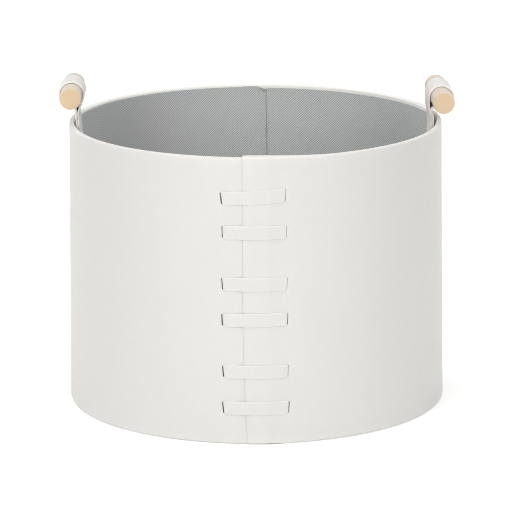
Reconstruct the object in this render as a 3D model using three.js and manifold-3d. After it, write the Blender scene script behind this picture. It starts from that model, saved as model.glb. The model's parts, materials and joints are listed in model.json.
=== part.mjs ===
// Round storage bin: a leather-covered cardboard drum with a twill lining, laced over its front seam,
// and two handles, each a wooden dowel held in a looped strap that is sewn inside the wall.
// Millimetres. The origin is at the centre of the underside, +Z is up, the laced seam faces -Y,
// and the handles are at -X and +X. A bearing is an angle seen from above, from the front towards +X.
import * as THREE from "three";
import { mergeVertices } from "three/addons/utils/BufferGeometryUtils.js";
import Module from "manifold-3d";

const wasm = await Module();
wasm.setup();

// Body
const BASE_RADIUS = 165;
const RIM_RADIUS = 162.3;
const RIM_HEIGHT = 246.5;
const GAP = 0.3; // between any two pieces that touch

// Layers of the wall, from the outside in
const COVER_THICKNESS = 1;
const BOARD_THICKNESS = 2;
const LINING_THICKNESS = 0.8;
const COVER_INNER = BASE_RADIUS - COVER_THICKNESS;
const BOARD_OUTER = COVER_INNER - GAP;
const BOARD_INNER = BOARD_OUTER - BOARD_THICKNESS;
const LEAF_OUTER = BOARD_INNER - GAP;
const LEAF_INNER = LEAF_OUTER - COVER_THICKNESS;
const LINING_OUTER = LEAF_INNER - GAP;
const LINING_INNER = LINING_OUTER - LINING_THICKNESS;

// The cover's folded edges, and where its right end laps over its left end at the front
const LEAF_DEPTH = 15; // how far the cover comes down inside the rim
const HEM_WIDTH = 15; // how far it turns in under the base
const RIM_CORNER = 1.8;
const RIM_BEND = 0.3; // the same corner on the side that faces the board
const FOOT_CORNER = 0.6;
const LAP_RISE = COVER_THICKNESS + GAP;
const LAP_START = -3.74; // bearing of the edge that shows
const LAP_END = 3; // bearing of the hidden end below it
const LAP_SETTLED = 7.5; // bearing where the upper layer is back on the board
const EDGE_DRIFT = 1.2; // degrees by which the visible edge wanders towards the foot

// Base
const PANEL_THICKNESS = 0.8;
const PANEL_RADIUS = 158.5;
const BASE_BOARD_THICKNESS = 2.5;
const HEM_BOTTOM = PANEL_THICKNESS + GAP;
const BOARD_BOTTOM = HEM_BOTTOM + COVER_THICKNESS + GAP;
const BOARD_TOP = RIM_HEIGHT - COVER_THICKNESS - GAP;
const LINING_BOTTOM = BOARD_BOTTOM + BASE_BOARD_THICKNESS + GAP;
const LINING_TOP = RIM_HEIGHT - 3;

// Laces: each crosses the front, goes in through two slits and ends flat behind the board
const LACE_WIDTH = 11.8;
const LACE_THICKNESS = 1;
const LACE_TAIL = 5.5; // degrees of bearing behind the board
const LACES = [
  { height: 213.0, left: -10.0, right: 8.65, tilt: 2.7 },
  { height: 182.9, left: -9.75, right: 8.9, tilt: 0.2 },
  { height: 138.6, left: -9.8, right: 9.0, tilt: 0.3 },
  { height: 107.9, left: -9.85, right: 9.05, tilt: 0.7 },
  { height: 63.0, left: -9.65, right: 9.2, tilt: 0.2 },
  { height: 31.5, left: -9.7, right: 9.25, tilt: 0 },
];

// Handles. In a handle's own frame x points out of the bin, y runs along the dowel and z is up.
// The hinge and the knee are places on the middle of the doubled stem, the dowel its [x, z], leaves
// the angle round the dowel where the strap leaves it, and roll how far its +y end is raised.
const DOWEL_RADIUS = 9.5;
const DOWEL_LENGTH = 80;
const DOWEL_EDGE = 0.6;
const STRAP_WIDTH = 34;
const STRAP_THICKNESS = 1.7;
const STEM_THICKNESS = 2 * STRAP_THICKNESS + GAP;
const LOOP_RADIUS = DOWEL_RADIUS + GAP + STRAP_THICKNESS / 2; // to the middle of the strap
const TAIL_BOTTOM = 200;
const TAIL_TOP = 245.6;
const TAIL_BEND = 239; // below this the tail lies flat along the lining
const TAIL_FACE = 155.3; // the tail's outer face, clear of the lining at the strap's edges
const HINGE_HEIGHT = 249; // where the sewn stem ends and the strap starts to flex
const FOLD_DROP = 2.5; // the outer layer lies flat this much below the inner layer's knee
const FOLD_REACH = 2.6;
const FOLD_STEPS = 8;
const LOOP_STEPS = 22;
const HANDLES = [
  {
    side: "left",
    bearing: -89.5,
    hinge: 154.3,
    knee: [154.9, 255.5],
    dowel: [159.4, 272.2],
    leaves: -100,
    roll: 1.0,
  },
  {
    side: "right",
    bearing: 92.4,
    hinge: 153.2,
    knee: [151.3, 257.5],
    dowel: [161.25, 266.3],
    leaves: -122,
    roll: 0.6,
  },
];

const RING_STEPS = 96;
const RING_STEP = 360 / RING_STEPS;
const radians = THREE.MathUtils.degToRad;

// Materials

function material(color, roughness) {
  return new THREE.MeshStandardMaterial({ color, roughness, metalness: 0 });
}

const coverLeather = material(0xece9e4, 0.55);
const strapLeather = material(0xf0ede8, 0.5);
const greyBoard = material(0xb9a88d, 0.9);
const greyTwill = material(0xa3a5a4, 0.95);
const panelCloth = material(0xd9d6d0, 0.9);
const paleWood = material(0xe5c7a1, 0.6);

// Solids

function solidOf(geometry) {
  const bare = geometry.clone();
  bare.deleteAttribute("normal");
  bare.deleteAttribute("uv");
  const merged = mergeVertices(bare, 1e-3);
  const vertProperties = merged.attributes.position.array;
  const triVerts = new Uint32Array(merged.index.array);
  return new wasm.Manifold(new wasm.Mesh({ numProp: 3, vertProperties, triVerts }));
}

function geometryOf(solid) {
  const mesh = solid.getMesh();
  const geometry = new THREE.BufferGeometry();
  geometry.setAttribute("position", new THREE.BufferAttribute(mesh.vertProperties, 3));
  geometry.setIndex(new THREE.BufferAttribute(mesh.triVerts, 1));
  geometry.computeVertexNormals();
  return geometry;
}

function cut(geometry, cutters) {
  const rest = cutters.reduce((solid, cutter) => solid.subtract(solidOf(cutter)), solidOf(geometry));
  return geometryOf(rest);
}

function joined(first, second) {
  return geometryOf(solidOf(first).add(solidOf(second)));
}

// Moves each vertex to where the rule puts it.
function reshaped(geometry, rule) {
  const places = geometry.attributes.position;
  for (let i = 0; i < places.count; i++) {
    const [x, y, z] = rule(places.getX(i), places.getY(i), places.getZ(i));
    places.setXYZ(i, x, y, z);
  }
  geometry.computeVertexNormals();
  return geometry;
}

// The drum is a little narrower at the rim than at the foot.
function leaning(geometry) {
  const rate = (BASE_RADIUS - RIM_RADIUS) / BASE_RADIUS / RIM_HEIGHT;
  return reshaped(geometry, (x, y, z) => [x * (1 - rate * z), y * (1 - rate * z), z]);
}

// A profile of [radius, height] points turned about the Z axis, with a step at the front.
function turned(profile) {
  const points = profile.map(([radius, height]) => new THREE.Vector2(radius, height));
  return new THREE.LatheGeometry(points, RING_STEPS).rotateX(Math.PI / 2);
}

function ring(inner, outer, bottom, top) {
  const corners = [[outer, bottom], [outer, top], [inner, top], [inner, bottom]];
  return turned([...corners, corners[0]]);
}

function disc(radius, bottom, thickness) {
  const top = bottom + thickness;
  return turned([[0, bottom], [radius, bottom], [radius, top], [0, top]]);
}

function atBearing(bearing, radius) {
  const angle = radians(bearing);
  return new THREE.Vector2(radius * Math.sin(angle), -radius * Math.cos(angle));
}

// The outline of a band of even thickness along a line of points.
function bandShape(line, thickness) {
  const half = thickness / 2;
  const left = [];
  const right = [];
  line.forEach((point, i) => {
    const before = line[Math.max(i - 1, 0)];
    const after = line[Math.min(i + 1, line.length - 1)];
    const coming = (i > 0 ? point.clone().sub(before) : after.clone().sub(point)).normalize();
    const going = (i < line.length - 1 ? after.clone().sub(point) : coming.clone()).normalize();
    const along = coming.clone().add(going).normalize();
    const across = new THREE.Vector2(-along.y, along.x);
    const reach = half / Math.max(along.dot(coming), 0.5);
    left.push(point.clone().addScaledVector(across, reach));
    right.push(point.clone().addScaledVector(across, -reach));
  });
  return new THREE.Shape([...left, ...right.reverse()]);
}

// Outer cover

// How far the cover stands off the board at a bearing from the visible edge, in [0, 1].
function lapShare(bearing) {
  const settling = (bearing - LAP_END) / (LAP_SETTLED - LAP_END);
  return 1 - THREE.MathUtils.clamp(settling, 0, 1);
}

// The cover's section, as [radius, height] points: under the base, up the wall, over the rim and down.
function coverSection(bearing) {
  const rise = LAP_RISE * lapShare(bearing);
  const lapped = bearing <= LAP_SETTLED;
  const outer = BASE_RADIUS + rise;
  const inner = outer - COVER_THICKNESS;
  const top = RIM_HEIGHT + rise;
  const under = top - COVER_THICKNESS;
  const leafInner = LEAF_INNER - rise;
  const leafOuter = LEAF_OUTER - rise;
  const leafBottom = lapped ? LINING_TOP + 0.4 : RIM_HEIGHT - LEAF_DEPTH;
  const hemEnd = lapped ? inner : BASE_RADIUS - HEM_WIDTH; // the upper layer has no hem on the lap
  const hemCorner = HEM_BOTTOM + COVER_THICKNESS * (lapped ? 2 : 1);
  const corner = (centreRadius, from) =>
    [0, 1, 2, 3].map((step) => {
      const angle = radians(from + 30 * step);
      const height = top - RIM_CORNER + RIM_CORNER * Math.sin(angle);
      return [centreRadius + RIM_CORNER * Math.cos(angle), height];
    });
  return [
    [hemEnd, HEM_BOTTOM],
    [outer - FOOT_CORNER, HEM_BOTTOM],
    [outer, HEM_BOTTOM + FOOT_CORNER],
    ...corner(outer - RIM_CORNER, 0),
    ...corner(leafInner + RIM_CORNER, 90),
    [leafInner, leafBottom],
    [leafOuter, leafBottom],
    [leafOuter, under - RIM_BEND],
    [leafOuter + RIM_BEND, under],
    [inner - RIM_BEND, under],
    [inner, under - RIM_BEND],
    [inner, hemCorner],
    [hemEnd, HEM_BOTTOM + COVER_THICKNESS],
  ];
}

// The strip that coverSection sweeps from the visible edge round the back to the hidden end.
function coverStrip() {
  const lapBearings = [LAP_START, -2.2, -0.3, 1.6, LAP_END, 4.1, 5.3, 6.4, LAP_SETTLED];
  const firstStep = Math.ceil(LAP_SETTLED / RING_STEP + 1);
  const bearings = [...lapBearings];
  for (let step = firstStep; step <= RING_STEPS; step++) bearings.push(step * RING_STEP);
  bearings.push(360 + LAP_END);

  const sections = bearings.map(coverSection);
  const count = sections[0].length;
  const positions = [];
  sections.forEach((section, i) => {
    for (const [radius, height] of section) {
      const place = atBearing(bearings[i], radius);
      positions.push(place.x, place.y, height);
    }
  });

  const faces = [];
  for (let i = 0; i + 1 < sections.length; i++) {
    for (let j = 0; j < count; j++) {
      const a = i * count + j;
      const b = i * count + ((j + 1) % count);
      faces.push(a, a + count, b, b, a + count, b + count);
    }
  }
  const capOf = (section) => {
    const outline = section.map(([radius, height]) => new THREE.Vector2(radius, height));
    return THREE.ShapeUtils.triangulateShape(outline, []);
  };
  const last = (sections.length - 1) * count;
  for (const [a, b, c] of capOf(sections[0])) faces.push(a, b, c);
  for (const [a, b, c] of capOf(sections.at(-1))) faces.push(last + a, last + c, last + b);

  const geometry = new THREE.BufferGeometry();
  geometry.setAttribute("position", new THREE.Float32BufferAttribute(positions, 3));
  geometry.setIndex(faces);
  return geometry;
}

// What trims the visible edge, so that it wanders to the right towards the foot.
function edgeTrimmer() {
  const outerRadius = BASE_RADIUS + LAP_RISE;
  const edge = [];
  for (let step = 0; step <= 16; step++) {
    const height = (step / 16) * (RIM_HEIGHT - 20);
    const share = Math.max(1 - height / RIM_HEIGHT, 0) ** 5;
    const bearing = LAP_START + EDGE_DRIFT * share;
    edge.push(new THREE.Vector2(outerRadius * Math.sin(radians(bearing)), height));
  }
  const beyond = edge[0].x - 6;
  const outline = [new THREE.Vector2(beyond, 0), ...edge, new THREE.Vector2(beyond, edge.at(-1).y)];
  const trimmer = new THREE.ExtrudeGeometry(new THREE.Shape(outline), { depth: 4, bevelEnabled: false });
  const face = BASE_RADIUS * Math.cos(radians(LAP_START)) + 0.26; // between the two layers
  return trimmer.rotateX(Math.PI / 2).translate(0, -face, 0);
}

// Laces and their slits

// A lace's rise from left to right, as a shift of height.
function tilted(geometry, lace) {
  const slope = Math.tan(radians(lace.tilt));
  return reshaped(geometry, (x, y, z) => [x, y, z + slope * x]);
}

function laceLine(lace) {
  const behind = (LEAF_OUTER + LEAF_INNER) / 2;
  const onWall = BASE_RADIUS + GAP + LACE_THICKNESS / 2;
  const onLap = onWall + LAP_RISE;
  const line = [];
  for (let step = 0; step <= 4; step++) {
    line.push(atBearing(lace.left - LACE_TAIL * (1 - step / 4), behind));
  }
  line.push(atBearing(lace.left, onWall));
  const stretches = [
    { from: lace.left, to: LAP_START - 0.4, low: onWall, high: onLap, steps: 4 },
    { from: LAP_START - 0.4, to: LAP_END + 0.4, low: onLap, high: onLap, steps: 6 },
    { from: LAP_END + 0.4, to: lace.right, low: onLap, high: onWall, steps: 4 },
  ];
  for (const { from, to, low, high, steps } of stretches) {
    for (let step = 1; step <= steps; step++) {
      const share = step / steps;
      line.push(atBearing(from + (to - from) * share, low + (high - low) * share));
    }
  }
  for (let step = 0; step <= 4; step++) {
    line.push(atBearing(lace.right + LACE_TAIL * (step / 4), behind));
  }
  return line;
}

function laceStrip(lace) {
  const shape = bandShape(laceLine(lace), LACE_THICKNESS);
  const band = new THREE.ExtrudeGeometry(shape, { depth: LACE_WIDTH, bevelEnabled: false });
  return leaning(tilted(band.translate(0, 0, lace.height - LACE_WIDTH / 2), lace));
}

function slitCutters() {
  const depth = BASE_RADIUS - LEAF_OUTER + 3;
  const across = LACE_THICKNESS + 2 * GAP;
  const height = LACE_WIDTH + 2 * GAP;
  return LACES.flatMap((lace) =>
    [lace.left, lace.right].map((bearing) => {
      const place = atBearing(bearing, LEAF_OUTER + 0.1 + depth / 2);
      const slit = new THREE.BoxGeometry(across, depth, height);
      slit.rotateZ(radians(bearing)).translate(place.x, place.y, lace.height);
      return tilted(slit, lace);
    }),
  );
}

// The board's ends meet edge to edge under the lap.
function boardJoint() {
  const place = atBearing(0, (BOARD_OUTER + BOARD_INNER) / 2);
  const slot = new THREE.BoxGeometry(0.5, 2 * BOARD_THICKNESS, 2 * RIM_HEIGHT);
  return slot.translate(place.x, place.y, RIM_HEIGHT / 2);
}

// Handles

// Extrudes a shape that is drawn in a handle's x and z across the strap's width.
function acrossStrap(shape) {
  const band = new THREE.ExtrudeGeometry(shape, { depth: STRAP_WIDTH, bevelEnabled: false, curveSegments: 8 });
  return band.rotateX(Math.PI / 2).translate(0, STRAP_WIDTH / 2, 0);
}

function strapTail({ hinge }) {
  const flat = TAIL_FACE - STEM_THICKNESS / 2;
  const lean = (hinge - flat) / (HINGE_HEIGHT - TAIL_BEND);
  const line = [
    new THREE.Vector2(flat, TAIL_BOTTOM),
    new THREE.Vector2(flat, TAIL_BEND),
    new THREE.Vector2(flat + lean * (TAIL_TOP - TAIL_BEND), TAIL_TOP),
  ];
  return acrossStrap(bandShape(line, STEM_THICKNESS));
}

// The strap's middle line: up the stem's inner layer, over the dowel and under it, then folded down
// into the stem's outer layer.
function loopLine({ hinge, knee, dowel, leaves }) {
  const layer = (STRAP_THICKNESS + GAP) / 2;
  const centre = new THREE.Vector2(...dowel);
  const innerKnee = new THREE.Vector2(knee[0] - layer, knee[1]);
  const outerKnee = new THREE.Vector2(knee[0] + layer, knee[1] - FOLD_DROP);
  const spoke = innerKnee.clone().sub(centre);
  const touches = spoke.angle() - Math.acos(LOOP_RADIUS / spoke.length());
  const line = [new THREE.Vector2(hinge - layer, HINGE_HEIGHT), innerKnee];
  for (let step = 0; step <= LOOP_STEPS; step++) {
    const angle = THREE.MathUtils.lerp(touches, radians(leaves), step / LOOP_STEPS);
    const out = new THREE.Vector2(Math.cos(angle), Math.sin(angle));
    line.push(centre.clone().addScaledVector(out, LOOP_RADIUS));
  }
  const end = line.at(-1);
  const heading = new THREE.Vector2(Math.sin(radians(leaves)), -Math.cos(radians(leaves)));
  const bendStart = end.clone().addScaledVector(heading, FOLD_REACH);
  const bendEnd = outerKnee.clone().add(new THREE.Vector2(0, FOLD_REACH));
  const fold = new THREE.CubicBezierCurve(end, bendStart, bendEnd, outerKnee);
  line.push(...fold.getPoints(FOLD_STEPS).slice(1));
  line.push(new THREE.Vector2(hinge + layer, HINGE_HEIGHT));
  return line;
}

// The loop, with its two layers sewn together in a round end about the line where it swings.
function strapLoop(handle) {
  const band = acrossStrap(bandShape(loopLine(handle), STRAP_THICKNESS));
  const end = new THREE.CylinderGeometry(STEM_THICKNESS / 2, STEM_THICKNESS / 2, STRAP_WIDTH, 16);
  return joined(band, end.translate(handle.hinge, 0, HINGE_HEIGHT));
}

function dowelRod() {
  const half = DOWEL_LENGTH / 2;
  const profile = [
    [0, -half],
    [DOWEL_RADIUS - DOWEL_EDGE, -half],
    [DOWEL_RADIUS, DOWEL_EDGE - half],
    [DOWEL_RADIUS, half - DOWEL_EDGE],
    [DOWEL_RADIUS - DOWEL_EDGE, half],
    [0, half],
  ];
  return new THREE.LatheGeometry(profile.map((point) => new THREE.Vector2(...point)), 32);
}

// Assembly

const bin = new THREE.Group();

function add(group, name, geometry, finish) {
  const mesh = new THREE.Mesh(geometry, finish);
  mesh.name = name;
  group.add(mesh);
  return mesh;
}

const slits = slitCutters();
const cover = cut(coverStrip(), [edgeTrimmer(), ...slits]);
const board = cut(ring(BOARD_INNER, BOARD_OUTER, BOARD_BOTTOM, BOARD_TOP), [boardJoint(), ...slits]);
const lining = ring(LINING_INNER, LINING_OUTER, LINING_BOTTOM, LINING_TOP);
add(bin, "outer_cover", leaning(cover), coverLeather);
add(bin, "wall_board", leaning(board), greyBoard);
add(bin, "lining_wall", leaning(lining), greyTwill);
add(bin, "lining_floor", disc(LINING_INNER - GAP, LINING_BOTTOM, LINING_THICKNESS), greyTwill);
add(bin, "base_board", disc(BOARD_INNER - GAP, BOARD_BOTTOM, BASE_BOARD_THICKNESS), greyBoard);
add(bin, "bottom_panel", disc(PANEL_RADIUS, 0, PANEL_THICKNESS), panelCloth);
LACES.forEach((lace, i) => add(bin, `lace_${i + 1}`, laceStrip(lace), strapLeather));

for (const handle of HANDLES) {
  const place = new THREE.Group();
  place.rotation.z = radians(handle.bearing - 90);
  add(place, `strap_tail_${handle.side}`, strapTail(handle), strapLeather);

  const swing = new THREE.Group();
  swing.position.set(handle.hinge, 0, HINGE_HEIGHT);
  swing.rotation.x = radians(handle.roll);
  const loop = strapLoop(handle).translate(-handle.hinge, 0, -HINGE_HEIGHT);
  add(swing, `strap_loop_${handle.side}`, loop, strapLeather);
  const dowel = add(swing, `dowel_${handle.side}`, dowelRod(), paleWood);
  const [dowelX, dowelZ] = handle.dowel;
  dowel.position.set(dowelX - handle.hinge, 0, dowelZ - HINGE_HEIGHT);
  place.add(swing);
  bin.add(place);
}

export default bin;
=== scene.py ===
"""Looks of a round storage bin: a leather-covered board drum with a twill lining, laced over its
front seam, and two handles, each a wooden rod held in a looped strap.

Lengths are in millimetres until a mesh is made, which turns them into metres. +Z is up, the laced
seam faces -Y and the handles are at -X and +X. A bearing is an angle seen from above, in degrees
from the front towards +X. Depths are radii before the drum's slight lean is applied.
"""

import json
import math

import bmesh
import bpy
import numpy as np
from mathutils import Matrix, Vector, noise


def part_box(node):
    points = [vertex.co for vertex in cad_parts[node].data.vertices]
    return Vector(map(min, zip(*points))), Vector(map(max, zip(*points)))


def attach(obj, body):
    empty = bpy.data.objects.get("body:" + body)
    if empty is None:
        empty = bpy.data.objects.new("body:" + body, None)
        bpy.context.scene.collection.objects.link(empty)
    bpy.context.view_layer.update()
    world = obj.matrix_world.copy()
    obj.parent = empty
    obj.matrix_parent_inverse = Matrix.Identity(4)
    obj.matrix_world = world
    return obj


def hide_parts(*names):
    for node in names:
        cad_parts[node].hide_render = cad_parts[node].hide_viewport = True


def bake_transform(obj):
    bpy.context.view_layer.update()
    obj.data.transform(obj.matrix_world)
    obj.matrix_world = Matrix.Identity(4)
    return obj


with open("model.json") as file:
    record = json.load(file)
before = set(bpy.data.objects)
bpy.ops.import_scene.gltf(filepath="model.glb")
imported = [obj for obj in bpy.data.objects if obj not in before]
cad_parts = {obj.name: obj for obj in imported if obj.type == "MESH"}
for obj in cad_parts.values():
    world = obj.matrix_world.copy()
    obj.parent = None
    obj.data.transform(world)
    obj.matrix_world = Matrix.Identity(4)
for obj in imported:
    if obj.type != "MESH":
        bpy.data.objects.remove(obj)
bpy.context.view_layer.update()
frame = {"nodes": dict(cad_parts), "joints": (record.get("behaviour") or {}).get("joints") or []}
MM = 0.001


def mm_box(node):
    """Lowest and highest corner of a CAD node, in millimetres."""
    low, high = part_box(node)
    return np.array(low) / MM, np.array(high) / MM


# Layers of the wall, from the outside in, and how far the rim stands in from the foot
GAP = 0.3
COVER_THICKNESS = 1.0
BOARD_THICKNESS = 2.0
LINING_THICKNESS = 0.8
LAP_RISE = COVER_THICKNESS + GAP
cover_high = mm_box("outer_cover")[1]
RIM_HEIGHT = cover_high[2] - LAP_RISE
BASE_RADIUS = cover_high[0]
LEAN = 2.7
RIM_RADIUS = BASE_RADIUS - LEAN
COVER_MIDDLE = BASE_RADIUS - COVER_THICKNESS / 2
LEAF_OUTER = BASE_RADIUS - COVER_THICKNESS - BOARD_THICKNESS - 2 * GAP
LEAF_MIDDLE = LEAF_OUTER - COVER_THICKNESS / 2
LINING_OUTER = LEAF_OUTER - COVER_THICKNESS - GAP
LINING_MIDDLE = LINING_OUTER - LINING_THICKNESS / 2

# The cover's folded edges and its lap at the front
LEAF_DEPTH = 15.0
HEM_WIDTH = 15.0
HEM_MIDDLE = 1.6
RIM_FOLD = 1.3
FOOT_FOLD = 0.6
FOOT_DIP = 0.55
LAP_START = -3.94
LAP_END = 3.0
LAP_SETTLED = 7.5
RIM_SETTLED = 24.0
LAP_PRESSED = 0.5
LAP_PARED = 0.5
EDGE_DRIFT = 1.2
HEM_ROWS = 5
FOOT_ROWS = 3
RIM_ROWS = 6
LEAF_ROWS = 4

# Laces. A slant is how far the top of a slit leans away from the lap, an opening how much of the
# slit shows beside the lace. Pulled tight, a lace is pressed to less than the cover's thickness.
LACE_WIDTH = 11.8
LACE_PRESSED = 0.75
LACE_TAIL = 5.5
SLIT_BELOW = 4.7
SLIT_ABOVE = 5.3
SLIT_BEHIND = 0.8
SLIT_ROUNDING = 0.45
SLANTS = {"left": (1.2, 0.4, 0.9, 0.6, 1.0, 1.0), "right": (0.6, 0.2, 0.7, 0.4, 0.5, 0.6)}
OPENINGS = {"left": (1.0, 0.6, 0.75, 0.95, 0.9, 0.95), "right": (0.1, 0.08, 0.05, 0.45, 0.05, 0.6)}

# Lining
lining_low, lining_high = mm_box("lining_wall")
SEAM_BEARING = 176.4
SEAM_DRIFT = 1.2

# Handles
STRAP_WIDTH = 34.0
STRAP_THICKNESS = 1.7
LAYER_SHIFT = (STRAP_THICKNESS + 0.1) / 2
STEM_THICKNESS = 2 * STRAP_THICKNESS + GAP
ROD_RADIUS = 9.5
ROD_LENGTH = 80.0
LOOP_RADIUS = ROD_RADIUS + GAP + STRAP_THICKNESS / 2
TAIL_BEND = 239.0
TAIL_FACE = 155.3
FOLD_DROP = 2.5
FOLD_REACH = 2.6
HANDLES = {
    "left": {"bearing": -89.5, "hinge": 154.3, "knee": (154.9, 255.5), "leaves": -100.0},
    "right": {"bearing": 92.4, "hinge": 153.2, "knee": (151.3, 257.5), "leaves": -122.0},
}
JOINTS = {joint["name"]: joint for joint in frame["joints"]}


def smooth_step(value, start, end):
    """0 before start and 1 after end, with an eased run between. It also runs downwards."""
    share = np.clip((value - start) / (end - start), 0.0, 1.0)
    return share * share * (3 - 2 * share)


# Meshes

SHARP_ANGLE = math.radians(40)


def place_at(radius, bearing):
    """The x and y of a place at a bearing."""
    angle = math.radians(bearing)
    return radius * math.sin(angle), -radius * math.cos(angle)


def leaning(points):
    """The drum is a little narrower at the rim than at the foot."""
    points = np.array(points, float)
    rate = (BASE_RADIUS - RIM_RADIUS) / BASE_RADIUS / RIM_HEIGHT
    points[:, :2] *= (1 - rate * points[:, 2])[:, None]
    return points


def mesh_object(name, points, faces):
    """An object of these points, in millimetres."""
    mesh = bpy.data.meshes.new(name)
    mesh.from_pydata((np.array(points, float) * MM).tolist(), [], [list(face) for face in faces])
    mesh.update()
    piece = bpy.data.objects.new(name, mesh)
    bpy.context.scene.collection.objects.link(piece)
    shade(piece)
    return piece


def shade(piece):
    """Smooth shading, with edges sharper than SHARP_ANGLE kept."""
    piece.data.shade_smooth()
    piece.data.set_sharp_from_angle(angle=SHARP_ANGLE)


def outward(piece):
    """Turns every face of a closed piece outwards."""
    form = bmesh.new()
    form.from_mesh(piece.data)
    bmesh.ops.recalc_face_normals(form, faces=form.faces)
    form.to_mesh(piece.data)
    form.free()
    return piece


def applied(piece):
    """The piece with its modifiers made real."""
    graph = bpy.context.evaluated_depsgraph_get()
    mesh = bpy.data.meshes.new_from_object(piece.evaluated_get(graph))
    piece.modifiers.clear()
    old = piece.data
    piece.data = mesh
    bpy.data.meshes.remove(old)
    mesh.name = piece.name
    shade(piece)
    return outward(piece)


def thickened(piece, thickness, edge_round=0.22, shares=()):
    """A single surface made into a sheet of that thickness about itself, with rounded cut edges.
    shares says how much of it some points keep, as (point, share) pairs."""
    solid = piece.modifiers.new("thickness", "SOLIDIFY")
    if shares:
        body = piece.vertex_groups.new(name="body")
        body.add(list(range(len(piece.data.vertices))), 1.0, "REPLACE")
        for point, share in shares:
            body.add([point], share, "REPLACE")
        solid.vertex_group = "body"
    solid.thickness = thickness * MM
    solid.offset = 0
    solid.use_even_offset = True
    solid.thickness_clamp = 0
    bevel = piece.modifiers.new("edge", "BEVEL")
    bevel.width = edge_round * MM
    bevel.segments = 2
    bevel.limit_method = "ANGLE"
    bevel.angle_limit = math.radians(60)
    return applied(piece)


def grid_faces(columns, rows, holes=()):
    """Quads of a grid whose point number is column * rows + row, without the cells in holes."""
    faces = []
    for column in range(columns - 1):
        for row in range(rows - 1):
            if (column, row) not in holes:
                first = column * rows + row
                faces.append((first, first + rows, first + rows + 1, first + 1))
    return faces


def tube_faces(rings, sides, first=0):
    """Quads between closed rings of points, numbered from first on, ring after ring."""
    faces = []
    for start in range(first, first + (rings - 1) * sides, sides):
        for step in range(sides):
            after = (step + 1) % sides
            faces.append((start + step, start + after, start + sides + after, start + sides + step))
    return faces


def closed_tube(rings, sides, first=0):
    """The quads of such a tube and the two faces that close it."""
    last = first + (rings - 1) * sides
    caps = [tuple(range(start, start + sides)) for start in (first, last)]
    return tube_faces(rings, sides, first) + caps


def disc_surface(name, radii, height, sides=144):
    """A flat disc of rings about a middle point. height is a function of x and y."""
    points = [(0.0, 0.0, height(0.0, 0.0))]
    for radius in radii:
        for side in range(sides):
            angle = 2 * math.pi * side / sides
            x = radius * math.cos(angle)
            y = radius * math.sin(angle)
            points.append((x, y, height(x, y)))
    faces = [(0, 1 + side, 1 + (side + 1) % sides) for side in range(sides)]
    for ring in range(len(radii) - 1):
        start = 1 + ring * sides
        for side in range(sides):
            after = (side + 1) % sides
            faces.append((start + side, start + sides + side, start + sides + after, start + after))
    return mesh_object(name, points, faces)


def rounded_section(width, thickness, corner, steps=3, across=12):
    """Outline of a flat band, as (across, through) pairs, with rounded corners."""
    half = width / 2 - corner
    rise = thickness / 2 - corner
    outline = []
    for right, top, start in ((1, 1, 0), (-1, 1, 90), (-1, -1, 180), (1, -1, 270)):
        for step in range(steps + 1):
            angle = math.radians(start + 90 * step / steps)
            x = right * half + corner * math.cos(angle)
            outline.append((x, top * rise + corner * math.sin(angle)))
        if start in (0, 180):
            side = 1 if start == 0 else -1
            for step in range(1, across):
                outline.append((side * half * (1 - 2 * step / across), side * thickness / 2))
    return np.array(outline)


def bell(distance, width):
    """1 at no distance, and nearly 0 from twice the width on."""
    return math.exp(-((distance / width) ** 2))


def band(name, centres, sides, normals, section, widths=None):
    """Sweeps a section along centres, with eased ends. widths scales it across."""
    count = len(centres)
    widths = np.ones(count) if widths is None else widths
    ring_points = []
    for i in range(count):
        across = section[:, :1] * widths[i] * sides[i]
        ring_points.append(centres[i] + across + section[:, 1:] * normals[i])
    for end, beyond in ((0, 1), (count - 1, count - 2)):
        along = centres[end] - centres[beyond]
        along /= np.linalg.norm(along)
        offset = ring_points[end] - ring_points[end].mean(axis=0)
        through = (offset @ normals[end])[:, None] * normals[end]
        cap = ring_points[end] + along * 0.3 - through * 0.45
        if end == 0:
            ring_points.insert(0, cap)
        else:
            ring_points.append(cap)
    points = np.concatenate(ring_points)
    faces = closed_tube(len(ring_points), len(section))
    return outward(mesh_object(name, points, faces))


def points_of(piece):
    """Where a piece's vertices are, in millimetres."""
    return np.array([vertex.co for vertex in piece.data.vertices], float) / MM


def move_points(piece, points):
    piece.data.vertices.foreach_set("co", (points * MM).astype(np.float32).ravel())
    piece.data.update()


def travel(line):
    """How far along a line each of its points is."""
    return np.concatenate([[0], np.cumsum(np.linalg.norm(np.diff(line, axis=0), axis=1))])


def directions(line):
    """Unit tangents of a line at its points."""
    tangent = np.gradient(line, axis=0)
    return tangent / np.linalg.norm(tangent, axis=1)[:, None]


def resampled(line, spacing):
    """Points evenly spaced along a line of points."""
    line = np.array(line, float)
    travelled = travel(line)
    steps = max(int(round(travelled[-1] / spacing)), 2)
    at = np.linspace(0, travelled[-1], steps + 1)
    return np.stack([np.interp(at, travelled, line[:, axis]) for axis in range(line.shape[1])], axis=1)


def softened(line, passes):
    """A line with its corners rounded by averaging neighbours. Its ends stay."""
    line = line.copy()
    for _ in range(passes):
        line[1:-1] = (line[:-2] + 2 * line[1:-1] + line[2:]) / 4
    return line


def mark(piece, name, values):
    """Stores one number for each vertex, which a material can read."""
    attribute = piece.data.attributes.new(name, "FLOAT", "POINT")
    attribute.data.foreach_set("value", np.array(values, np.float32))


def map_cloth(piece, rule):
    """Gives a cloth the UV map that its weave follows, in metres along and across the cloth."""
    layer = piece.data.uv_layers.new(name="weave")
    places = np.array([vertex.co for vertex in piece.data.vertices], float)
    flat = rule(places)
    for loop in piece.data.loops:
        layer.data[loop.index].uv = flat[loop.vertex_index]


# Laces as the CAD model has them


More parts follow.
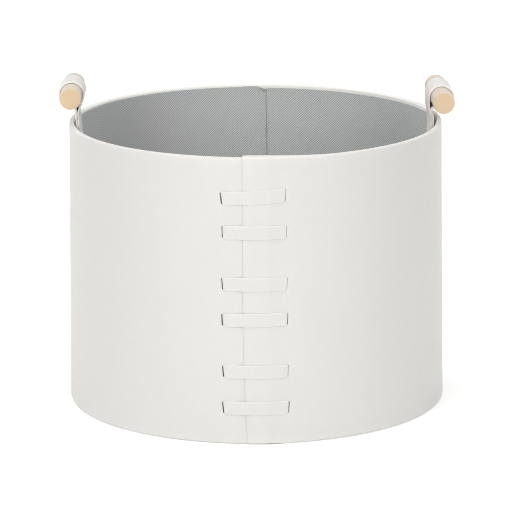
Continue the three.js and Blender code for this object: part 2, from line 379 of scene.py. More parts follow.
def read_lace(number):
    low, high = mm_box(f"lace_{number}")
    slope = (high[2] - low[2] - LACE_WIDTH) / (high[0] - low[0])
    height = (low[2] + high[2]) / 2 - slope * (low[0] + high[0]) / 2
    tail_radius = leaning([(LEAF_OUTER, 0, height)])[0][0]
    left = math.degrees(math.asin(low[0] / tail_radius)) + LACE_TAIL
    right = math.degrees(math.asin(high[0] / tail_radius)) - LACE_TAIL
    return {"height": height, "left": left, "right": right, "slope": slope}


LACES = [read_lace(number) for number in range(1, 7)]


def lace_slope(height):
    """Rise of the laces per millimetre to the right, at any height of the wall."""
    knots = [0.0]
    values = [0.0]
    for lace in reversed(LACES):
        knots += [lace["height"] - 7, lace["height"] + 7]
        values += [lace["slope"], lace["slope"]]
    return np.interp(height, knots + [RIM_HEIGHT - 8], values + [0.0])


def slit_line(side, offset):
    """Bearing of a line that follows one side's slits down the wall, counted on round the back from
    the lap. offset is a function of the slit's number, in millimetres away from the lap."""
    sign, whole_turn = (-1, 360) if side == "left" else (1, 0)
    knots = []
    values = []
    for number in reversed(range(len(LACES))):
        lace = LACES[number]
        for end, lean in ((-SLIT_BELOW, -0.5), (SLIT_ABOVE, 0.5)):
            away = offset(number) + lean * SLANTS[side][number]
            knots.append(lace["height"] + end)
            values.append(whole_turn + lace[side] + sign * math.degrees(away / BASE_RADIUS))
    return lambda height: np.interp(height, knots, values)


def slit_lines(side):
    """Three lines down one side's slits: the edge behind the laces, the middle and the open edge."""
    openings = [LACE_PRESSED / 2 + opening for opening in OPENINGS[side]]
    behind = slit_line(side, lambda number: -SLIT_BEHIND)
    middle = slit_line(side, lambda number: (openings[number] - SLIT_BEHIND) / 2)
    return [behind, middle, slit_line(side, lambda number: openings[number])]


# Cover


def edge_drift(height):
    """Degrees by which the cover's visible edge has wandered to the right at a height."""
    return EDGE_DRIFT * max(1 - height / RIM_HEIGHT, 0) ** 5


def lap_rise(bearing):
    """How far the upper layer stands off the wall. It comes down where its edge is pared thin."""
    rise = LAP_RISE * (1 - smooth_step(bearing, LAP_END, LAP_SETTLED))
    return rise - LAP_PRESSED * (1 - smooth_step(bearing, LAP_START, LAP_START + 2.0))


def cover_columns():
    """Lines up the cover, from its visible edge round the back to its hidden end, each a bearing or,
    at the slits, a function that gives one at a height. Also the first line's number at each side's
    slits."""
    columns = [LAP_START, LAP_START + 0.12, LAP_START + 0.4, -3.0, -2.0, -1.0, 0.0, 1.0, 2.0]
    columns += [LAP_END, 3.75, 4.5, 5.25, 6.0, 6.75, LAP_SETTLED]
    slits = [len(columns)]
    columns += slit_lines("right")
    columns += list(np.linspace(10.6, 360 - 12.0, 136))
    slits.append(len(columns))
    columns += reversed(slit_lines("left"))
    columns += list(360 + np.linspace(-8.3, LAP_END, 12))
    return columns, slits


def cover_rows():
    """Heights up the wall, with a row at each end of every slit, and the rows inside each slit."""
    bottom = HEM_MIDDLE - FOOT_DIP + FOOT_FOLD
    top = RIM_HEIGHT - COVER_THICKNESS / 2 - RIM_FOLD
    rows = [bottom]
    spans = []
    for lace in reversed(LACES):
        start = lace["height"] - SLIT_BELOW
        gap = start - rows[-1]
        rows += list(np.linspace(rows[-1], start, max(int(gap / 6), 2) + 1)[1:])
        first = len(rows) - 1
        rows += [start + 0.7, start + 3.2, lace["height"] + SLIT_ABOVE - 3.2]
        rows += [lace["height"] + SLIT_ABOVE - 0.7, lace["height"] + SLIT_ABOVE]
        spans.append((first, len(rows) - 1))
    rows += list(np.linspace(rows[-1], top, 6)[1:])
    return rows, list(reversed(spans))


def rim_fold():
    """The rim's fold from the outside up to its top, as (outwards, up) from the fold's middle."""
    angles = [math.radians(15 * step) for step in range(1, RIM_ROWS + 1)]
    return [(RIM_FOLD * math.cos(angle), RIM_FOLD * math.sin(angle)) for angle in angles]


def cover_section(bearing, wall):
    """The cover's line at a bearing as points of (depth, height): the hem, the foot, the wall, the
    rim and the leaf inside. Under the lap's two layers the hem and the leaf are cut short."""
    rise = lap_rise(bearing)
    settled = smooth_step(bearing, LAP_SETTLED, LAP_SETTLED + 3.0)
    outer = COVER_MIDDLE + rise
    leaf = LEAF_MIDDLE - rise
    rim_rise = LAP_RISE * (1 - smooth_step(bearing, LAP_END, RIM_SETTLED))
    top = RIM_HEIGHT - COVER_THICKNESS / 2 + rim_rise - RIM_FOLD
    foot = HEM_MIDDLE - FOOT_DIP + FOOT_FOLD
    short_end = 0.7 + 0.25 * rise
    section = []
    for step in range(HEM_ROWS):
        share = step / HEM_ROWS
        radius = BASE_RADIUS - HEM_WIDTH + (HEM_WIDTH - FOOT_FOLD) * share
        full = (radius, HEM_MIDDLE - FOOT_DIP * smooth_step(share, 0.55, 0.8))
        short = (outer, short_end + 0.25 * share)
        section.append(np.array(full) * settled + np.array(short) * (1 - settled))
    for step in range(FOOT_ROWS):
        angle = math.radians(-90 + 90 * step / FOOT_ROWS)
        radius = outer - FOOT_FOLD + FOOT_FOLD * math.cos(angle)
        full = (radius, foot + FOOT_FOLD * math.sin(angle))
        short = (outer, short_end + 0.25 + 0.25 * step / FOOT_ROWS)
        section.append(np.array(full) * settled + np.array(short) * (1 - settled))
    section += [(outer, height) for height in wall]
    section += [(outer - RIM_FOLD + out, top + up) for out, up in rim_fold()]
    section += [(leaf + RIM_FOLD - out, top + up) for out, up in reversed(rim_fold())]
    leaf_end = (RIM_HEIGHT - LEAF_DEPTH) * settled + (lining_high[2] + 0.5) * (1 - settled)
    section += [(leaf, height) for height in np.linspace(top, leaf_end, LEAF_ROWS + 1)]
    return section


def cover_surface():
    """The cover as a single surface with its slits open, and how much of its thickness the points
    beside the pared edge keep."""
    columns, slit_columns = cover_columns()
    wall, spans = cover_rows()
    first_wall = HEM_ROWS + FOOT_ROWS
    rows = first_wall + len(wall) + 2 * RIM_ROWS + LEAF_ROWS + 1
    points = []
    for column in columns:
        at_slits = callable(column)
        bearing_at = column if at_slits else (lambda height, column=column: column)
        section = cover_section(float(np.mean(bearing_at(RIM_HEIGHT / 2))), wall)
        for row, (radius, height) in enumerate(section):
            at = float(bearing_at(height))
            if not at_slits and column < LAP_SETTLED:
                at += edge_drift(height) * (1 - smooth_step(at, LAP_START, LAP_SETTLED))
            x, y = place_at(radius + cover_wave(at, height), at)
            front = smooth_step(abs(((at + 180) % 360) - 180), 14.0, 10.5)
            on_wall = first_wall <= row < first_wall + len(wall)
            shift = lace_slope(height) * x * front if on_wall else 0.0
            points.append((x, y, height + shift))
    holes = set()
    for start in slit_columns:
        for low, high in spans:
            for row in range(first_wall + low, first_wall + high):
                holes |= {(start, row), (start + 1, row)}
            for column in (start, start + 2):
                for row, move in ((low, SLIT_ROUNDING), (high, -SLIT_ROUNDING)):
                    corner = column * rows + first_wall + row
                    x, y, z = points[corner]
                    points[corner] = (x, y, z + move)
    shares = []
    for column, bearing in enumerate(columns[:5]):
        share = LAP_PARED + (1 - LAP_PARED) * smooth_step(bearing, LAP_START - 0.3, LAP_START + 1.2)
        shares += [(column * rows + row, float(share)) for row in range(rows)]
    return mesh_object("cover", leaning(points), grid_faces(len(columns), rows, holes)), shares


def cover_wave(bearing, height):
    """The faint unevenness of the covered board, in millimetres."""
    angle = math.radians(bearing)
    place = Vector((2.2 * math.sin(angle), 2.2 * math.cos(angle), height * 0.004))
    return 0.18 * noise.noise(place * 1.7) + 0.05 * noise.noise(place * 6.0)


def make_cover():
    """The cover, marked where it is lightened and where its lap's edge is darkened. Along the rim and at the
    foot the lightening is partly rubbing and partly painted light; on the leaf inside the rim it is painted
    light. The darkening at the lap's edge is painted shade.
    """
    surface, shares = cover_surface()
    cover = thickened(surface, COVER_THICKNESS, shares=shares)
    points = points_of(cover)
    z = points[:, 2]
    depth = np.hypot(points[:, 0], points[:, 1])
    inside = (z > RIM_HEIGHT - LEAF_DEPTH - 1) & (depth < RIM_RADIUS - 2.5)
    # Painted light: the leaf inside the rim is marked to go fully lighter, standing in for light it lacks.
    # The band along the rim and the strip at the foot are lightened partly for rubbing and partly as painted
    # light.
    rubbed_and_lit = 0.5 * np.clip(1 - np.abs(z - RIM_HEIGHT) / 2.5, 0, 1) + 0.3 * np.clip(1 - z / 4, 0, 1)
    mark(cover, "wear_and_painted_light", np.where(inside, 1.6, rubbed_and_lit))
    # Painted shade: a narrow band along the lap's visible edge is marked for darkening, standing in for the
    # shadow line of the step.
    painted_lap_shade = []
    for x, y, height in points:
        upright = 1 - (1 - RIM_RADIUS / BASE_RADIUS) * height / RIM_HEIGHT
        bearing = math.degrees(math.atan2(x, -y))
        on_lap = math.hypot(x, y) / upright - cover_wave(bearing, height) > BASE_RADIUS + 0.3
        away = math.radians(bearing - LAP_START - edge_drift(height)) * BASE_RADIUS
        painted_lap_shade.append(max(1 - abs(away) / 0.25, 0) if on_lap else 0.0)
    mark(cover, "painted_lap_shade", painted_lap_shade)
    return cover


# Laces


def lace_path(lace):
    """Middle line of a lace seen from above, as points of (bearing, depth)."""
    on_wall = BASE_RADIUS + 0.06 + LACE_PRESSED / 2
    edge = LAP_START + edge_drift(lace["height"])
    left, right = lace["left"], lace["right"]
    path = [(left - LACE_TAIL, LEAF_MIDDLE), (left, LEAF_MIDDLE), (left, on_wall)]
    path += [(edge - 2.2, on_wall), (edge - 0.3, on_wall + lap_rise(edge) - 0.22)]
    for bearing in np.linspace(edge + 0.5, right, 14):
        path.append((bearing, on_wall + lap_rise(bearing)))
    return path + [(right, LEAF_MIDDLE), (right + LACE_TAIL, LEAF_MIDDLE)]


def pared(section):
    """A lace's section with its outer face worn down towards both edges, most at the upper one."""
    section = section.copy()
    upper = smooth_step(section[:, 0], LACE_WIDTH / 2 - 1.6, LACE_WIDTH / 2)
    lower = smooth_step(-section[:, 0], LACE_WIDTH / 2 - 0.8, LACE_WIDTH / 2)
    outer = np.clip(section[:, 1] / LACE_PRESSED + 0.5, 0, 1)
    section[:, 1] -= outer * (0.4 * upper + 0.15 * lower)
    return section


def make_lace(number):
    """A lace along its path, pinched and leaning where it goes into its slits."""
    lace = LACES[number]
    flat = [place_at(radius, bearing) for bearing, radius in lace_path(lace)]
    arcs = []
    for first, second in zip(flat[:-1], flat[1:]):
        arcs.append(first)
        chord = math.dist(first, second)
        if chord > 6:
            for share in np.linspace(0, 1, 9)[1:-1]:
                point = np.array(first) * (1 - share) + np.array(second) * share
                radius = math.hypot(*first) * (1 - share) + math.hypot(*second) * share
                arcs.append(tuple(point / np.linalg.norm(point) * radius))
    arcs.append(flat[-1])
    line = softened(resampled(arcs, 0.35), 7)
    for i, (x, y) in enumerate(line):
        depth = math.hypot(x, y)
        if depth > BASE_RADIUS - 0.2:
            wave = cover_wave(math.degrees(math.atan2(x, -y)), lace["height"])
            line[i] = (x * (1 + wave / depth), y * (1 + wave / depth))
    tangent = directions(line)
    outward_normal = np.stack([tangent[:, 1], -tangent[:, 0]], axis=1)

    depth = np.hypot(line[:, 0], line[:, 1])
    travelled = travel(line)
    on_face = depth > BASE_RADIUS - 0.2
    face_start = travelled[on_face][0]
    face_end = travelled[on_face][-1]
    from_slit = np.minimum(travelled - face_start, face_end - travelled)
    pinch = 1 - smooth_step(from_slit, -0.5, 3.2)
    half = 1 - 0.16 * pinch
    slants = np.where(travelled < travelled[-1] / 2, SLANTS["left"][number], -SLANTS["right"][number])
    lean = -slants * pinch / (SLIT_ABOVE + SLIT_BELOW)

    heights = lace["height"] + lace["slope"] * line[:, 0] + 0.55 * pinch
    centres = np.stack([line[:, 0], line[:, 1], heights], axis=1)
    around = np.stack([-line[:, 1] / depth, line[:, 0] / depth], axis=1)
    sides = np.stack([around[:, 0] * lean, around[:, 1] * lean, np.ones(len(line))], axis=1)
    normals = np.stack([outward_normal[:, 0], outward_normal[:, 1], np.zeros(len(line))], axis=1)
    section = pared(rounded_section(LACE_WIDTH, LACE_PRESSED, 0.34, across=20))
    piece = band(f"lace_band_{number + 1}", centres, sides, normals, section, half)
    across = np.tile(np.abs(section[:, 0]), len(line) + 2)
    # Painted highlight: both long edges of the lace are coloured lighter, standing in for light catching
    # their rounded edges.
    mark(piece, "wear_and_painted_light", 0.35 * smooth_step(across, LACE_WIDTH / 2 - 1.0, LACE_WIDTH / 2 - 0.5))
    move_points(piece, leaning(points_of(piece)))
    return piece


# Lining


def seam_distance(bearing):
    """Distance along the lining from its seam, positive towards the right-hand side from the front."""
    away = ((SEAM_BEARING - bearing + 180) % 360) - 180
    return math.radians(away) * LINING_MIDDLE


def lining_edge(away):
    """Height of the lining's upper edge. It comes up further on the left of the seam, most of all
    beside it, and is drawn down where the seam tucks in under the rim."""
    distance = abs(away)
    rise = 0.4 * bell(distance, 70)
    if away < 0:
        rise = 1.3 * (1 - smooth_step(distance, 330, 450))
        rise += 0.9 * bell(distance - 14, 8)
        rise -= 1.5 * bell(distance, 4.5)
    return lining_high[2] - 0.4 + rise


def make_lining():
    """The lining's band. Beside its seam the cloth stands up a little, left of it the upper edge is
    tucked in, and the seam itself is drawn into a groove."""
    edge = math.degrees(0.16 / LINING_MIDDLE)
    near = [edge, 0.16, 0.3, 0.5, 0.75, 1.1, 1.7, 2.4, 3.2, 4.2, 5.4, 6.8, 8.4, 10.4, 12.6]
    bearings = list(SEAM_BEARING - 360 + np.array(near))
    bearings += list(np.linspace(bearings[-1] + 2, SEAM_BEARING - near[-1] - 2, 144))
    bearings += [SEAM_BEARING - away for away in reversed(near)]
    bottom = lining_low[2] + LINING_THICKNESS / 2
    points = []
    rows = 46
    for bearing in bearings:
        away = seam_distance(bearing)
        distance = abs(away)
        top = lining_edge(away)
        drawn = math.degrees(SEAM_DRIFT / LINING_MIDDLE) * (1 - smooth_step(distance, 0, 60))
        for row in range(rows):
            share = 1 - (1 - row / (rows - 1)) ** 1.7
            height = bottom + (top - bottom) * share
            lip = 0.75 * bell(distance - 1.6, 1.7)
            deeper = 0.4 * smooth_step(height, top - 40, top - 100)
            groove = (0.95 + deeper) * bell(distance, 0.55)
            tuck = 0.0
            if away < 0:
                near_seam = smooth_step(away, -10, -1.5)
                below_edge = bell(top - height - 3.2 * near_seam, 1.3)
                tuck = near_seam * (0.3 * below_edge - 1.3 * smooth_step(height, top - 2.8, top - 0.6))
            radius = LINING_MIDDLE - lip + groove + tuck + lining_wave(bearing, height)
            at = bearing - drawn * smooth_step(height, top + 10, top - 90)
            points.append((*place_at(radius, at), height))
    surface = mesh_object("lining", leaning(points), grid_faces(len(bearings), rows))
    lining = thickened(surface, LINING_THICKNESS, 0.25)

    def unrolled(places):
        angle = np.degrees(np.arctan2(places[:, 0], -places[:, 1]))
        away = (SEAM_BEARING - angle) % 360
        return np.stack([np.radians(away) * LINING_MIDDLE * MM, places[:, 2]], axis=1)

    map_cloth(lining, unrolled)
    return lining


def lining_wave(bearing, height):
    """The lining lies a little loose between its glued edges, always towards the inside."""
    angle = math.radians(bearing)
    place = Vector((2 * math.sin(angle), 2 * math.cos(angle), height * 0.006))
    loose = math.sin(math.pi * min(max(height / RIM_HEIGHT, 0), 1))
    return -0.5 * loose * (0.5 + 0.5 * noise.noise(place * 1.6))


def make_lining_floor():
    low, high = mm_box("lining_floor")
    middle = (low[2] + high[2]) / 2
    edge = high[0] - 0.1

    def height(x, y):
        radius = math.hypot(x, y)
        ease = 1 - smooth_step(radius, edge - 14, edge - 1)
        place = Vector((x * 0.012, y * 0.012, 4.0))
        loose = 0.5 * ease * (0.5 + 0.5 * noise.noise(place))
        return middle + loose - 0.15 * smooth_step(radius, edge - 2, edge)

    radii = list(np.linspace(6, edge - 4, 26)) + [edge - 2.5, edge - 1.2, edge - 0.4, edge]
    floor = thickened(disc_surface("lining_base", radii, height), LINING_THICKNESS, 0.25)
    map_cloth(floor, lambda places: places[:, :2])
    return floor


def make_underside():
    low, high = mm_box("bottom_panel")
    thickness = high[2] - low[2]
    middle = (low[2] + high[2]) / 2
    edge = high[0]

    def height(x, y):
        radius = math.hypot(x, y)
        return middle + 0.12 * bell(radius - edge + 5, 0.7)

    radii = list(np.linspace(8, edge - 9, 18)) + [edge - 7, edge - 6, edge - 5.4, edge - 5, edge - 4.6]
    radii += [edge - 4, edge - 2, edge]
    return thickened(disc_surface("underside", radii, height), thickness, 0.2)


# Handles


def strap_line(handle, height):
    """Middle line of a strap in its handle's own x and z, from the foot of its inner layer up,
    round the rod and down to the foot of its outer layer. height is where it starts to flex."""
    hinge = handle["hinge"]
    knee_x, knee_z = handle["knee"]
    centre = np.array(handle["rod"])
    tail_bottom = handle["tail_bottom"]
    flat = TAIL_FACE - STEM_THICKNESS / 2
    inner_knee = np.array((knee_x - LAYER_SHIFT, knee_z))
    outer_knee = np.array((knee_x + LAYER_SHIFT, knee_z - FOLD_DROP))
    spoke = inner_knee - centre
    touches = math.atan2(spoke[1], spoke[0]) % (2 * math.pi)
    touches -= math.acos(LOOP_RADIUS / np.linalg.norm(spoke))
    leaves = math.radians(handle["leaves"])
    line = [(flat - LAYER_SHIFT, tail_bottom), (flat - LAYER_SHIFT, TAIL_BEND)]
    line += [(hinge - LAYER_SHIFT, height), tuple(inner_knee)]
    for angle in np.linspace(touches, leaves, 60):
        line.append(tuple(centre + LOOP_RADIUS * np.array((math.cos(angle), math.sin(angle)))))
    end = np.array(line[-1])
    heading = np.array((math.sin(leaves), -math.cos(leaves)))
    handles = [end, end + heading * FOLD_REACH, outer_knee + np.array((0, FOLD_REACH)), outer_knee]
    for share in np.linspace(0, 1, 16)[1:]:
        rest = 1 - share
        weights = (rest**3, 3 * rest * rest * share, 3 * rest * share * share, share**3)
        line.append(tuple(sum(weight * point for weight, point in zip(weights, handles))))
    line.append((hinge + LAYER_SHIFT, height))
    line += [(flat + LAYER_SHIFT, TAIL_BEND), (flat + LAYER_SHIFT, tail_bottom)]
    return line


def handle_frame(side):
    """A handle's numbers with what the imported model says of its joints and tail."""
    handle = dict(HANDLES[side])
    swing = JOINTS[f"handle_{side}_swing"]
    spin = JOINTS[f"dowel_{side}_spin"]
    handle["yaw"] = math.radians(handle["bearing"] - 90)
    handle["height"] = swing["pos_m"][2] / MM
    handle["hinge"] = math.hypot(*swing["pos_m"][:2]) / MM
    handle["roll"] = math.asin(abs(spin["axis"][2]))
    turn = Matrix.Rotation(-handle["yaw"], 3, "Z")
    middle = turn @ Vector(spin["pos_m"]) / MM
    pivot = Vector((handle["hinge"], 0, handle["height"]))
    level = Matrix.Rotation(-handle["roll"], 3, "X") @ (middle - pivot) + pivot
    handle["rod"] = (level.x, level.z)
    handle["tail_bottom"] = mm_box(f"strap_tail_{side}")[0][2]
    return handle


def placed(handle, points, share):
    """Points from a handle's own frame in the part's frame. share is how much of its roll each takes."""
    pivot = np.array((handle["hinge"], 0, handle["height"]))
    roll = handle["roll"] * share
    moved = points - pivot
    y = moved[:, 1] * np.cos(roll) - moved[:, 2] * np.sin(roll)
    z = moved[:, 1] * np.sin(roll) + moved[:, 2] * np.cos(roll)
    moved = np.stack([moved[:, 0], y, z], axis=1) + pivot
    cos, sin = math.cos(handle["yaw"]), math.sin(handle["yaw"])
    x = moved[:, 0] * cos - moved[:, 1] * sin
    y = moved[:, 0] * sin + moved[:, 1] * cos
    return np.stack([x, y, moved[:, 2]], axis=1)


def make_strap(side):
    handle = handle_frame(side)
    line = softened(resampled(strap_line(handle, handle["height"]), 0.7), 5)
    tangent = directions(line)
    zeros = np.zeros(len(line))
    centres = np.stack([line[:, 0], zeros, line[:, 1]], axis=1)
    normals = np.stack([-tangent[:, 1], zeros, tangent[:, 0]], axis=1)
    sides = np.tile(np.array((0.0, 1.0, 0.0)), (len(line), 1))
    section = rounded_section(STRAP_WIDTH, STRAP_THICKNESS, 0.5, steps=4)
    strap = band(f"strap_{side}", centres, sides, normals, section)
    points = points_of(strap)
    mark(strap, "wear_and_painted_light", 0.5 * smooth_step(np.abs(points[:, 1]), STRAP_WIDTH / 2 - 1.0, STRAP_WIDTH / 2 - 0.2))
    share = smooth_step(points[:, 2], handle["height"] - 6, handle["height"])
    move_points(strap, placed(handle, points, share))
    return strap


def make_rod(side):
    """The rod, turned about its own Y axis, with eased ends."""
    half = ROD_LENGTH / 2
    ease = 0.8
    profile = [(radius, -half) for radius in (0.0, 3.0, 6.0, ROD_RADIUS - ease)]
    for angle in (22.5, 45, 67.5, 90):
        turn = math.radians(angle)
        profile.append((ROD_RADIUS - ease + ease * math.sin(turn), -half + ease - ease * math.cos(turn)))
    profile += [(ROD_RADIUS, place) for place in np.linspace(-half + 4, half - 4, 19)]
    profile += [(radius, -place) for radius, place in reversed(profile[:8])]
    sides = 96
    points = []
    for radius, place in profile[1:-1]:
        for side_number in range(sides):
            angle = 2 * math.pi * side_number / sides
            points.append((radius * math.cos(angle), place, radius * math.sin(angle)))
    rings = len(profile) - 2
    faces = tube_faces(rings, sides)
    first_pole = len(points)
    points += [(0, -half, 0), (0, half, 0)]
    last = (rings - 1) * sides
    for step in range(sides):
        after = (step + 1) % sides
        faces.append((first_pole, step, after))
        faces.append((first_pole + 1, last + after, last + step))
    rod = outward(mesh_object(f"rod_{side}", points, faces))
    joint = JOINTS[f"dowel_{side}_spin"]
    axis = Vector(joint["axis"])
    if axis.y < 0:
        axis = -axis
    rod.rotation_mode = "QUATERNION"
    rod.rotation_quaternion = axis.to_track_quat("Y", "Z")
    rod.location = Vector(joint["pos_m"])
    return rod


def stitches(name, rows, radius=0.28, length=2.9, gap=0.9):
    """Thread along rows of (start, end, normal) points, in millimetres, as short rounded stitches."""
    points = []
    faces = []
    sides = 6
    rings = ((-0.5, 0.2), (-0.42, 0.8), (-0.2, 1.0), (0.2, 1.0), (0.42, 0.8), (0.5, 0.2))
    for start, end, normal in rows:
        start, end, normal = (np.array(value, float) for value in (start, end, normal))
        span = np.linalg.norm(end - start)
        along = (end - start) / span
        across = np.cross(normal, along)
        count = max(int(round(span / (length + gap))), 1)
        for number in range(count):
            middle = start + along * (number + 0.5) * span / count
            first = len(points)
            for place, size in rings:
                bow = 0.25 * (1 - (2 * place) ** 2)
                for step in range(sides):
                    angle = 2 * math.pi * step / sides
                    offset = across * math.cos(angle) * 1.25 + normal * math.sin(angle)
                    points.append(middle + along * place * length + offset * radius * size + normal * bow)
            faces += closed_tube(len(rings), sides, first)
    return outward(mesh_object(name, points, faces))


def make_tail_stitching(side):
    """A sewn box with a cross, which holds the strap's tail to the wall."""
    handle = handle_frame(side)
    face = TAIL_FACE - (STEM_THICKNESS + STRAP_THICKNESS) / 2 - LAYER_SHIFT - 0.02
    half = STRAP_WIDTH / 2 - 3.5
    low = handle["tail_bottom"] + 4
    high = TAIL_BEND - 5
    corners = [(face, -half, low), (face, half, low), (face, half, high), (face, -half, high)]
    rows = []
    for first, second in ((0, 1), (1, 2), (2, 3), (3, 0), (0, 2), (1, 3)):
        rows.append((corners[first], corners[second], (-1, 0, 0)))
    seam = stitches(f"tail_stitching_{side}", rows)
    move_points(seam, placed(handle, points_of(seam), 0.0))
    return seam


# Materials


def scaled(color, share):
    return [value * share for value in color]


class Finish:
    """A material under construction, with short ways to add and link its nodes."""

    def __init__(self, name, roughness, specular=0.5, sheen=0.0):
        self.material = bpy.data.materials.new(name)
        self.material.use_nodes = True
        self.tree = self.material.node_tree
        self.shader = self.tree.nodes["Principled BSDF"]
        self.shader.inputs["Roughness"].default_value = roughness
        self.shader.inputs["Specular IOR Level"].default_value = specular
        self.shader.inputs["Sheen Weight"].default_value = sheen

    def node(self, kind, inputs=None, **settings):
        made = self.tree.nodes.new(kind)
        for key, value in settings.items():
            setattr(made, key, value)
        for key, value in (inputs or {}).items():
            if isinstance(value, bpy.types.NodeSocket):
                self.tree.links.new(value, made.inputs[key])
            else:
                made.inputs[key].default_value = value
        return made

    def math(self, operation, *values, clamp=False):
        made = self.node("ShaderNodeMath", dict(enumerate(values)), operation=operation, use_clamp=clamp)
        return made.outputs[0]

    def noise(self, place, scale, detail=2.0, roughness=0.5, stretch=None):
        if stretch is not None:
            place = self.node("ShaderNodeMapping", {"Vector": place, "Scale": stretch}).outputs[0]
        settings = {"Vector": place, "Scale": scale, "Detail": detail, "Roughness": roughness}
        return self.node("ShaderNodeTexNoise", settings).outputs["Fac"]

    def ramp(self, value, low, high, out_low=0.0, out_high=1.0):
        settings = {"Value": value, "From Min": low, "From Max": high, "To Min": out_low, "To Max": out_high}
        return self.node("ShaderNodeMapRange", settings).outputs["Result"]

    def mix(self, factor, first, second):
        made = self.node("ShaderNodeMix", data_type="RGBA", clamp_factor=True)
        for index, value in ((0, factor), (6, first), (7, second)):
            if isinstance(value, bpy.types.NodeSocket):
                self.tree.links.new(value, made.inputs[index])
            else:
                made.inputs[index].default_value = value if index == 0 else (*value, 1.0)
        return made.outputs[2]

    def place(self):
        return self.node("ShaderNodeTexCoord").outputs["Object"]

    def split(self, vector):
        return self.node("ShaderNodeSeparateXYZ", {0: vector}).outputs

    def link(self, name, value):
        self.tree.links.new(value, self.shader.inputs[name])

    def bump(self, height, distance, strength=1.0, below=None):
        inputs = {"Height": height, "Distance": distance, "Strength": strength}
        if below is not None:
            inputs["Normal"] = below
        return self.node("ShaderNodeBump", inputs).outputs["Normal"]


def leather(name, color, grain_scale, roughness, wear_and_light_color):
    """Coated fabric with a fine pebbled grain, faint mottling, edges lightened partly by rubbing and partly
    as painted light, and painted shade along a cut edge.
    """
    finish = Finish(name, roughness, specular=0.45)
    place = finish.place()
    cells = finish.node("ShaderNodeTexVoronoi", {"Vector": place, "Scale": grain_scale}, feature="SMOOTH_F1")
    pebbles = finish.ramp(cells.outputs["Distance"], 0.0, 0.75, 1.0, 0.0)
    fine = finish.noise(place, grain_scale * 1.7, 3.0, 0.6)
    broad = finish.noise(place, 14.0, 3.0, 0.55)
    cloud = finish.noise(place, 110.0, 4.0, 0.6)
    tone = finish.mix(finish.ramp(broad, 0.3, 0.7), scaled(color, 0.985), color)
    tone = finish.mix(finish.ramp(cloud, 0.35, 0.65, 0.0, 0.25), tone, scaled(color, 0.955))
    tone = finish.mix(finish.ramp(pebbles, 0.0, 0.45, 0.16, 0.0), tone, scaled(color, 0.86))
    # Where the vertex mark says so, the colour goes lighter: partly rubbed edges, partly painted light and
    # painted highlights.
    wear_and_painted_light = finish.node("ShaderNodeAttribute", attribute_name="wear_and_painted_light").outputs["Fac"]
    rubbed_and_lit = finish.math("MULTIPLY", wear_and_painted_light, finish.ramp(cloud, 0.3, 0.7, 0.45, 0.95), clamp=True)
    tone = finish.mix(rubbed_and_lit, tone, wear_and_light_color)
    # Painted shade: the colour goes dark along the lap's edge where this mark says so.
    painted_lap_shade = finish.node("ShaderNodeAttribute", attribute_name="painted_lap_shade").outputs["Fac"]
    tone = finish.mix(finish.math("MULTIPLY", painted_lap_shade, 0.5), tone, (0.3, 0.28, 0.26))
    finish.link("Base Color", tone)
    rough = finish.math("ADD", finish.ramp(cloud, 0.2, 0.8, -0.05, 0.06), roughness)
    finish.link("Roughness", finish.math("SUBTRACT", rough, finish.ramp(pebbles, 0.0, 1.0, 0.0, 0.06)))
    soft = finish.bump(broad, 0.0006, 0.3)
    height = finish.math("ADD", pebbles, finish.math("MULTIPLY", fine, 0.5))
    finish.link("Normal", finish.bump(height, 0.00006, 0.55, soft))
    return finish.material


def twill(name, dark, light):
    """Cotton twill: diagonal ribs of yarn floats, with yarns that differ a little in tone."""
    finish = Finish(name, 0.92, specular=0.2)
    weave = finish.node("ShaderNodeUVMap", uv_map="weave").outputs[0]
    wobble = finish.noise(weave, 260.0, 2.0)
    u, v, _ = finish.split(weave)
    yarn = 0.00077
    warp = finish.math("ADD", finish.math("DIVIDE", u, yarn), finish.ramp(wobble, 0.0, 1.0, -0.3, 0.3))
    weft = finish.math("DIVIDE", v, yarn)
    rib = finish.math("DIVIDE", finish.math("SUBTRACT", warp, weft), 3.0)
    wave = finish.math("SINE", finish.math("MULTIPLY", rib, 2 * math.pi))
    rib_height = finish.ramp(wave, -0.9, 0.75)
    yarn_round = finish.math("ABSOLUTE", finish.math("SINE", finish.math("MULTIPLY", warp, math.pi)))
    weft_round = finish.math("ABSOLUTE", finish.math("SINE", finish.math("MULTIPLY", weft, math.pi)))
    floats = finish.math("MULTIPLY", rib_height, finish.ramp(yarn_round, 0.0, 0.8, 0.55, 1.0))
    between = finish.math("SUBTRACT", 1.0, rib_height)
    dips = finish.math("MULTIPLY", between, finish.ramp(weft_round, 0, 1, 0.0, 0.35))
    height = finish.math("ADD", floats, dips)
    heather = finish.noise(finish.node("ShaderNodeCombineXYZ", {0: u, 1: v}).outputs[0], 900.0, 3.0, 0.7)
    broad = finish.noise(weave, 16.0, 3.0)
    tone = finish.mix(height, dark, light)
    tone = finish.mix(finish.ramp(heather, 0.3, 0.7, 0.0, 0.3), tone, scaled(light, 0.72))
    tone = finish.mix(finish.ramp(broad, 0.3, 0.7, 0.0, 0.12), tone, scaled(light, 0.85))
    finish.link("Base Color", tone)
    fuzz = finish.bump(heather, 0.00008, 0.4)
    finish.link("Normal", finish.bump(height, 0.00022, 0.8, fuzz))
    return finish.material


def cardboard(name, color):
    """Raw grey board with short fibres and flecks."""
    finish = Finish(name, 0.9, specular=0.2)
    place = finish.place()
    fibres = finish.noise(place, 900.0, 5.0, 0.7, (1.0, 1.0, 0.25))
    flecks = finish.noise(place, 380.0, 2.0)
    clouds = finish.noise(place, 45.0, 3.0)
    tone = finish.mix(finish.ramp(fibres, 0.3, 0.7), scaled(color, 0.78), color)
    tone = finish.mix(finish.ramp(flecks, 0.66, 0.72, 0.0, 0.6), tone, scaled(color, 0.5))
    tone = finish.mix(finish.ramp(clouds, 0.3, 0.7, 0.0, 0.3), tone, scaled(color, 1.15))
    finish.link("Base Color", tone)
    finish.link("Normal", finish.bump(fibres, 0.00015, 0.6))
    return finish.material


